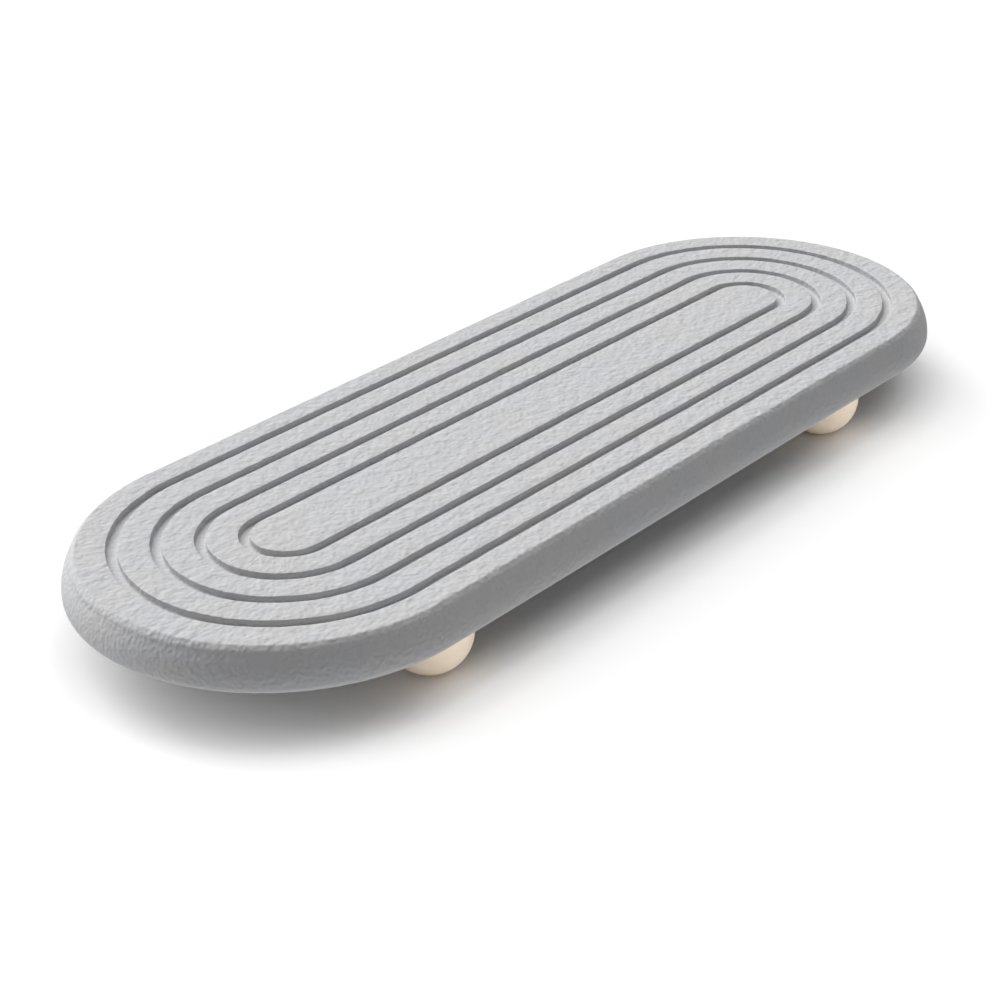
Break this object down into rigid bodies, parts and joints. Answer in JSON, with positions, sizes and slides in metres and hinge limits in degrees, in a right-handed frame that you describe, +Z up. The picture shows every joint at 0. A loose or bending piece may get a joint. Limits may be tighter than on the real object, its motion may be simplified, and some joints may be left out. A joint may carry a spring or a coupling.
{
  "type": "diatomite drying tray",
  "caption": "Long stadium-shaped diatomite drying tray with nested drainage grooves in its top, raised on turned wooden ball feet.",
  "frame": {"origin": "on the surface that the tray stands on, under the middle of the slab", "axes": "+X along the slab's long side, towards its far right end in the picture; +Y across the slab, away from the camera; +Z up, out of the grooved top"},
  "size_m": [0.3, 0.1084, 0.0295],
  "materials": {
    "diatomite": "dead matt pressed diatomite, pale cool grey with a fine grain",
    "foot_wood": "smooth sanded pale wood, satin",
    "dowel_wood": "bare wood"
  },
  "bodies": {
    "root": {"diatomite_slab": "diatomite", "ball_foot_near_left": "foot_wood", "ball_foot_near_right": "foot_wood", "ball_foot_far_right": "foot_wood", "ball_foot_far_left": "foot_wood", "dowel_near_left": "dowel_wood", "dowel_near_right": "dowel_wood", "dowel_far_right": "dowel_wood", "dowel_far_left": "dowel_wood"}
  },
  "joints": []
}
